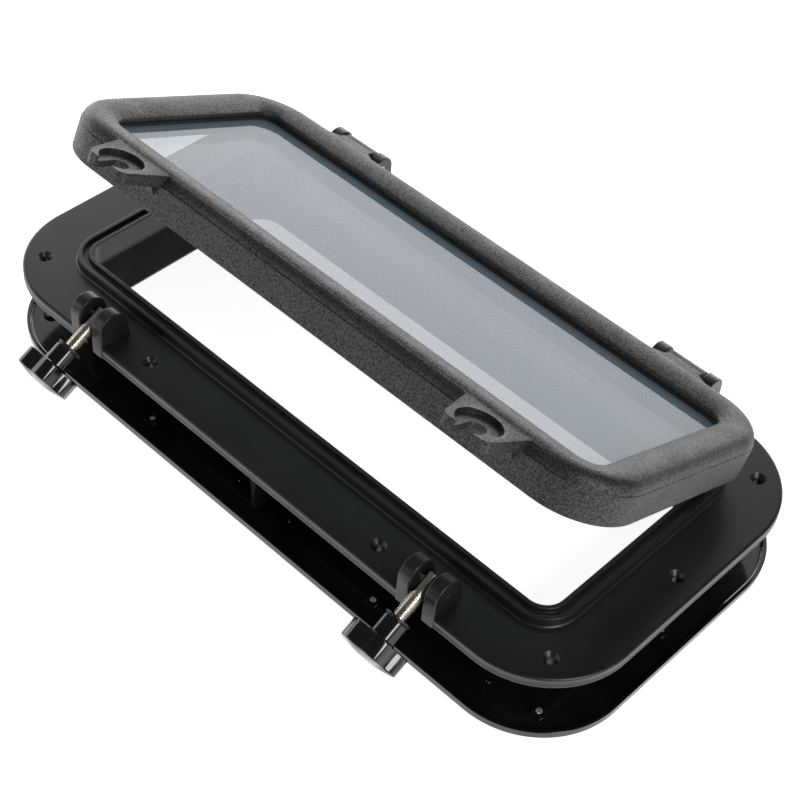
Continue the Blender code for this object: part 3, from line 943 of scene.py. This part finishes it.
@dataclass
class HingedLid:
    """Lid with rolled bezel, pane, seals, latch lugs and hinge knuckles. Millimetres from the hinge axis."""

    shop: Workshop
    frame: DeckFrame
    half_x: float = 196.5
    half_y: float = 88.5
    corner: float = 37.0
    bezel: float = 22.7
    lip_corner: float = 10.0
    axis_v: float = 191.5
    axis_w: float = 11.5
    open_deg: float = 24.0
    steps: int = 20
    lug_v: float = -13.5
    slot_radius: float = 5.1
    knuckle: tuple[float, float] = (115.0, 138.4)
    knuckle_radius: float = 7.0
    knuckle_bore: float = 3.9
    lug_height: tuple[float, float] = (13.7, 20.5)
    knob_seat_radius: float = 12.5
    knob_seat_floor: float = 17.5

    @property
    def seat(self) -> Seat:
        """Where the lid sits at rest."""
        return Seat(self.frame.hinge, -self.open_deg)

    def at_v(self, v: float) -> float:
        """Drawing y of a point v from the lid's front edge."""
        return v - self.axis_v

    def at_w(self, w: float) -> float:
        """Drawing z of a point w above the lid's base."""
        return w - self.axis_w

    def ring(self, name: str, section: Section, rounding: float, closed: bool = True) -> bpy.types.Object:
        """Ring or plate that follows the lid outline.

        Args:
            name: object name.
            section: distance inside the outer edge and height over the base of each point.
            rounding: edge rounding.
            closed: False makes a plate.

        Returns:
            The new object.
        """
        bm = bmesh.new()
        taper = (self.corner - self.lip_corner) / self.bezel
        loft(bm, [(Outline(self.half_x - step, self.half_y - step, self.corner - step * taper), self.at_w(w))
                  for step, w in section], self.steps, closed)
        if rounding > 0.0:
            soften(bm, rounding, 3, 24.0)
        bmesh.ops.translate(bm, vec=(0.0, self.at_v(self.half_y), 0.0), verts=bm.verts)
        return mesh_of(bm, name)

    def latch_lug(self, x: float) -> bpy.types.Object:
        """Open-ended lug with its slot and round knob seat."""
        bm = bmesh.new()
        outline = [(x - 22.5, self.at_v(10.0)), (x - 13.4, self.at_v(-25.0)),
                   (x + 13.4, self.at_v(-25.0)), (x + 22.5, self.at_v(10.0))]
        slab(bm, outline, *map(self.at_w, self.lug_height), {1: 4.0, 2: 4.0})
        lug = mesh_of(bm, "lug")
        bm, r, centre = bmesh.new(), self.slot_radius, self.at_v(self.lug_v + 0.5)
        slab(bm, [(x - r - 1.6, self.at_v(-30.0)), (x - r, self.at_v(-22.5)), (x - r, centre + r),
                  (x + r, centre + r), (x + r, self.at_v(-22.5)), (x + r + 1.6, self.at_v(-30.0))],
             -6.0, 14.0, {2: r - 0.01, 3: r - 0.01})
        joined(lug, mesh_of(bm, "slot"), Cut.REMOVE)
        seat = bmesh.new()
        middle = Vector((x, self.at_v(self.lug_v + 0.7), self.at_w(self.knob_seat_floor)))
        rod(seat, self.knob_seat_radius, middle, middle + Vector((0, 0, 8)), 96)
        joined(lug, mesh_of(seat, "seat"), Cut.REMOVE)
        bm = bmesh.new()
        bm.from_mesh(lug.data)
        bmesh.ops.dissolve_limit(bm, angle_limit=math.radians(0.5), verts=bm.verts, edges=bm.edges)
        soften(bm, 0.45, 3, 45.0, lambda e: max(v.co.y for v in e.verts) < self.at_v(9.0))
        bm.to_mesh(lug.data)
        bm.free()
        return lug

    def gusset(self, x: float) -> bpy.types.Object:
        """Wedge that carries a latch lug on the lid's front wall."""
        bm = bmesh.new()
        outline = [(self.at_v(3.0), self.at_w(7.0)), (self.at_v(0.0), self.at_w(7.0)),
                   (self.at_v(-4.5), self.at_w(14.2)), (self.at_v(3.0), self.at_w(14.2))]
        slab(bm, outline, x - 17.0, x + 17.0)
        bmesh.ops.rotate(bm, cent=(0, 0, 0), matrix=SIDEWAYS.to_matrix(), verts=bm.verts)
        return mesh_of(bm, "gusset")

    def hinge_lug(self, side: Side) -> bpy.types.Object:
        """Tapered lug and knuckle at the back edge."""
        mid = side.value * sum(self.knuckle) / 2
        half = (self.knuckle[1] - self.knuckle[0]) / 2
        web = bmesh.new()
        wide = 20.5
        outline = [(mid + x, self.at_v(v)) for x, v in (
            (-wide, 166.0), (wide, 166.0), (wide, 177.5), (half, 183.0), (half, 188.0),
            (-half, 188.0), (-half, 183.0), (-wide, 177.5))]
        slab(web, outline, self.at_w(7.0), self.at_w(18.4))
        web_item = mesh_of(web, "web")
        barrel = bmesh.new()
        rod(barrel, self.knuckle_radius, Vector((mid - half, 0, 0)), Vector((mid + half, 0, 0)), 64)
        joined(web_item, mesh_of(barrel, "barrel"), Cut.ADD)
        bm = bmesh.new()
        bm.from_mesh(web_item.data)
        bmesh.ops.dissolve_limit(bm, angle_limit=math.radians(0.5), verts=bm.verts, edges=bm.edges)
        soften(bm, 0.6, 3, 45.0, lambda e: min(v.co.y for v in e.verts) > self.at_v(166.5))
        bm.to_mesh(web_item.data)
        bm.free()
        bore = bmesh.new()
        rod(bore, self.knuckle_bore, Vector((mid - half - 2, 0, 0)), Vector((mid + half + 2, 0, 0)), 40)
        return joined(web_item, mesh_of(bore, "bore"), Cut.REMOVE)

    def build(self) -> None:
        """Build and deliver the lid and everything in it."""
        section: Section = ((15.5, 0.0), (15.5, 15.0), (22.7, 15.0), (22.7, 17.2), (22.3, 17.9), (21.2, 18.6),
                            (19.2, 19.6), (16.5, 20.6), (14.2, 21.2), (11.6, 21.65), (9.0, 21.8), (7.4, 21.7),
                            (5.9, 21.4), (4.6, 20.9), (3.5, 20.2), (2.5, 19.3), (1.7, 18.3), (1.1, 17.2),
                            (0.75, 16.2), (0.6, 15.0), (0.0, 14.5), (0.0, -2.4), (0.6, -3.0), (4.4, -3.0),
                            (5.2, 0.0), (6.5, 0.0), (6.5, 3.0), (13.5, 3.0), (13.5, 0.0))
        lid = self.ring("lid_frame_skin", section, 0.35)
        for side in Side:
            x = side.value * self.frame.fitting_x
            joined(lid, self.gusset(x), Cut.ADD)
            joined(lid, self.latch_lug(x), Cut.ADD)
            joined(lid, self.hinge_lug(side), Cut.ADD)
        deliver = self.shop.deliver
        deliver(lid, self.seat, "lid", ["lid_frame"], "black_abs", "grain")
        pane = self.ring("glass_pane_skin", ((15.9, 8.0), (15.9, 13.0)), 0.4, False)
        deliver(pane, self.seat, "lid", ["glass_pane"], "tinted_glass", "glass")
        bead = self.ring("glazing_seal_skin", ((16.4, 13.3), (16.4, 14.7), (23.4, 14.7), (23.8, 14.0),
                                                (23.4, 13.3)), 0.2)
        deliver(bead, self.seat, "lid", ["glazing_seal"], "black_rubber", "rubber")
        soft = self.ring("lid_gasket_skin", ((6.8, 2.7), (13.2, 2.7), (13.2, 0.3), (12.2, -0.8), (10.8, -1.2),
                                             (9.2, -1.2), (7.8, -0.8), (6.8, 0.3)), 0.3)
        deliver(soft, self.seat, "lid", ["lid_gasket"], "black_rubber", "rubber")
        keeper = self.ring("pane_retainer_skin", ((15.9, 6.2), (15.9, 7.7), (25.0, 7.7), (25.2, 6.9),
                                                  (24.6, 6.2)), 0.2)
        deliver(keeper, self.seat, "lid", ["pane_retainer"], "black_abs", "satin")
        for side in Side:
            self.shop.dress("hinge_bush_" + side.label, "nylon")


@dataclass
class SwingLatch:
    """One swing bolt with its knob. Millimetres along the bolt from the pivot."""

    shop: Workshop
    frame: DeckFrame
    side: Side
    tilt_deg: float = 28.0
    shank_radius: float = 3.5
    crest_radius: float = 4.0
    root_radius: float = 3.25
    pitch: float = 1.25
    thread_start: float = 8.6
    bolt_end: float = 36.0
    hub_start: float = 25.0
    hub_radius: float = 7.6
    wheel_radius: float = 18.0
    wheel_start: float = 36.4
    wheel_end: float = 47.6
    crown: float = 49.6
    lobes: int = 6
    eye_radius: float = 1.8
    insert_bore: float = 5.9
    bore_end: float = 48.0

    @property
    def seat(self) -> Seat:
        """Where the latch sits at rest."""
        place = self.frame.pivot + Vector((self.side.value * self.frame.fitting_x, 0.0, 0.0))
        return Seat(place, 90.0 + self.tilt_deg)

    def thread(self) -> bpy.types.Object:
        """Helical thread with flat ends."""
        bm = bmesh.new()
        start, turns, steps = 6.0, 26, 28
        tooth: Section = ((self.root_radius, 0.0), (self.root_radius, 0.16), (self.crest_radius, 0.56),
                          (self.crest_radius, 0.72), (self.root_radius, 1.12), (self.root_radius, self.pitch))
        verts = [bm.verts.new((r, 0.0, start + s)) for r, s in tooth]
        edges = [bm.edges.new(pair) for pair in zip(verts, verts[1:])]
        bmesh.ops.spin(bm, geom=verts + edges, cent=(0, 0, 0), axis=(0, 0, 1),
                       dvec=(0, 0, self.pitch / steps), angle=math.tau * turns, steps=steps * turns, use_merge=False, use_duplicate=False)
        bmesh.ops.remove_doubles(bm, verts=bm.verts, dist=1e-3)
        for height, normal in ((self.thread_start, -1.0), (self.bolt_end, 1.0)):
            made = bmesh.ops.bisect_plane(bm, geom=bm.verts[:] + bm.edges[:] + bm.faces[:], dist=1e-5,
                                          plane_co=(0, 0, height), plane_no=(0, 0, normal), clear_outer=True)
            rim = [g for g in made["geom_cut"] if isinstance(g, bmesh.types.BMEdge)]
            bmesh.ops.edgeloop_fill(bm, edges=rim)
        return mesh_of(bm, "thread")

    def bolt(self) -> bpy.types.Object:
        """Eye end, shank and thread."""
        bm = bmesh.new()
        rod(bm, self.shank_radius, Vector((0, 0, -4.5)), Vector((0, 0, self.thread_start + 0.5)), 64)
        soften(bm, 0.4, 2, 60.0)
        shank = joined(mesh_of(bm, "swing_bolt_skin_" + self.side.label), self.thread(), Cut.ADD)
        bm = bmesh.new()
        rod(bm, self.eye_radius, Vector((-8, 0, 0)), Vector((8, 0, 0)), 32)
        return joined(shank, mesh_of(bm, "eye"), Cut.REMOVE)

    def lobed(self, radius: float, depth: float, s: float) -> Station:
        """Station of the knob's lobed outline.

        Args:
            radius: radius over the lobes.
            depth: depth of the valleys.
            s: distance along the bolt.

        Returns:
            Where a point of the first loop goes.
        """
        def place(point: Vector) -> Vector:
            """Return the point at the same angle on this station."""
            angle = math.atan2(point.y, point.x)
            reach = radius - depth * (0.5 - 0.5 * math.cos(self.lobes * angle)) ** 1.2
            return Vector((reach * math.cos(angle), reach * math.sin(angle), s))
        return place

    def knob(self) -> bpy.types.Object:
        """Lobed hand wheel, hub and crown, with the bore for its insert."""
        bm = bmesh.new()
        r, deep = self.wheel_radius, 3.0
        stations = ((self.hub_radius, 0.3, self.hub_start + 0.5),
                    (self.hub_radius, 0.3, self.wheel_start - 0.7),
                    (self.hub_radius + 0.7, 0.3, self.wheel_start),
                    (r - 1.0, deep, self.wheel_start), (r - 0.3, deep, self.wheel_start + 0.25),
                    (r, deep, self.wheel_start + 0.9), (r, deep, self.wheel_end - 1.1),
                    (r - 0.3, deep, self.wheel_end - 0.4), (r - 1.1, deep, self.wheel_end),
                    (r - 4.5, 1.8, self.wheel_end + 0.8), (r - 9.0, 0.6, self.crown - 0.4),
                    (4.0, 0.0, self.crown))
        verts = bmesh.ops.create_circle(bm, cap_ends=False, radius=self.hub_radius - 0.5,
                                        segments=self.lobes * 24)["verts"]
        bmesh.ops.translate(bm, vec=(0.0, 0.0, self.hub_start), verts=verts)
        sweep(bm, list(bm.edges), [self.lobed(*station) for station in stations], False)
        knob = mesh_of(bm, "knob_skin_" + self.side.label)
        hollow = bmesh.new()
        rod(hollow, self.insert_bore, Vector((0, 0, self.hub_start - 1)), Vector((0, 0, self.bore_end)), 64)
        return joined(knob, mesh_of(hollow, "hollow"), Cut.REMOVE)

    def build(self) -> None:
        """Build and deliver the bolt and knob, and dress the insert and washer."""
        label = self.side.label
        self.shop.deliver(self.bolt(), self.seat, "bolt_" + label, ["swing_bolt_" + label],
                          "stainless", "steel")
        self.shop.deliver(self.knob(), self.seat, "knob_" + label, ["knob_" + label], "gloss_black", "gloss")
        self.shop.dress("knob_insert_" + label, "brass")
        self.shop.dress("knob_washer_" + label, "nylon")


# ---------------------------------------------------------------- studio


@dataclass(frozen=True)
class Softbox:
    """One rectangular studio light that aims at the hatch."""

    name: str
    place: tuple[float, float, float]
    size: tuple[float, float]
    power: float

    def build(self, target: Vector) -> None:
        """Add the light.

        Args:
            target: point that it faces.
        """
        lamp = bpy.data.lights.new(self.name, "AREA")
        lamp.shape = "RECTANGLE"
        lamp.size, lamp.size_y = self.size
        lamp.energy = self.power
        item = bpy.data.objects.new(self.name, lamp)
        item.location = self.place
        item.rotation_euler = (target - item.location).to_track_quat("-Z", "Y").to_euler()
        bpy.context.scene.collection.objects.link(item)


@dataclass
class Studio:
    """Floor, sky, softboxes and camera."""

    shop: Workshop
    camera_place: tuple[float, float, float] = (462.31, -541.59, 708.25)
    camera_turn: tuple[float, float, float] = (43.865, -4.087, 43.996)
    lens_mm: float = 80.7
    lights: tuple[Softbox, ...] = (
        Softbox("back_wall", (-0.66, 1.0, 0.32), (2.4, 0.64), 13.5),
        Softbox("back_high_box", (-0.75, 0.85, 1.2), (1.4, 1.0), 4.0),
        Softbox("left_wall", (-1.1, -0.1, 0.3), (1.2, 0.5), 4.0),
        Softbox("front_left_box", (-1.3, -1.6, 0.9), (1.2, 0.8), 4.0),
        Softbox("strip_box", (1.25, -0.35, 0.95), (0.26, 1.0), 10.0),
        Softbox("right_box", (1.9, 0.2, 0.7), (1.0, 1.0), 3.5),
    )
    air: float = 0.1
    floor_half: float = 20.0

    def build(self) -> None:
        """Build the whole studio."""
        bm = bmesh.new()
        bmesh.ops.create_grid(bm, x_segments=1, y_segments=1, size=self.floor_half)
        floor = mesh_of(bm, "floor")
        floor.data.materials.append(self.shop.finishes["floor"])
        floor.location.z = -0.0006
        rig.stage(floor)
        world = bpy.data.worlds.new("studio_air")
        world.use_nodes = True
        sky = world.node_tree.nodes["Background"]
        sky.inputs["Color"].default_value = (1.0, 1.0, 1.0, 1.0)
        sky.inputs["Strength"].default_value = self.air
        bpy.context.scene.world = world
        for light in self.lights:
            light.build(Vector((0.0, 0.0, 0.06)))
        lens = bpy.data.cameras.new("camera")
        lens.lens = self.lens_mm
        lens.sensor_width = 36.0
        lens.clip_start = 0.02
        view = bpy.data.objects.new("camera", lens)
        view.location = self.shop.datum + Vector(self.camera_place) * MM
        view.rotation_euler = [math.radians(a) for a in self.camera_turn]
        bpy.context.scene.collection.objects.link(view)
        bpy.context.scene.camera = view
        bpy.context.scene.view_settings.view_transform = "Standard"


def make_finishes() -> dict[str, bpy.types.Material]:
    """Return every finish by its short name."""
    # The frame's satin finish has its reflection cut away below the flange underside: painted shade.
    smooth = GrainedPlastic("satin_black_plastic", (0.008, 0.010, 0.009), (0.014, 0.016, 0.014), (0.30, 0.40),
                            0.9, 0.05, 0.4, painted_shade_below=find_datum().z - FLANGE_THICKNESS * MM)
    steel = TurnedMetal("turned_steel", (0.50, 0.47, 0.41), (0.76, 0.72, 0.64))
    brass = TurnedMetal("turned_brass", (0.45, 0.32, 0.13), (0.66, 0.50, 0.22))
    return {"grain": GrainedPlastic().build(), "satin": smooth.build(),
            "gloss": GlossPlastic().build(), "glass": SmokedGlass().build(), "rubber": SoftRubber().build(),
            "steel": steel.build(), "brass": brass.build(),
            "nylon": SatinNylon().build(), "floor": PaleSweep().build()}


def find_datum() -> Vector:
    """Return the middle of the flange's top plane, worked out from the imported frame."""
    low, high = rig.box("main_frame")
    ring_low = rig.box("trim_ring")[0]
    return Vector(((low[0] + high[0]) / 2, (low[1] + high[1]) / 2, ring_low[2] + RING_DEPTH * MM))


def main() -> None:
    """Build the hatch and its studio, then write the two sizes."""
    cad_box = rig.bounds()
    shop = Workshop(find_datum(), make_finishes())
    frame = DeckFrame(shop)
    frame.build()
    ClampingRing(shop, frame).build()
    HingedLid(shop, frame).build()
    for side in Side:
        SwingLatch(shop, frame, side).build()
    Studio(shop).build()
    sizes = {"cad": [list(map(float, v)) for v in cad_box], "visual": [list(map(float, v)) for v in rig.bounds()]}
    with open("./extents.json", "w", encoding="utf-8") as out:
        json.dump(sizes, out)


if __name__ == "__main__":
    logging.basicConfig(level=logging.INFO, format="%(message)s")
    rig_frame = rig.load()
    main()
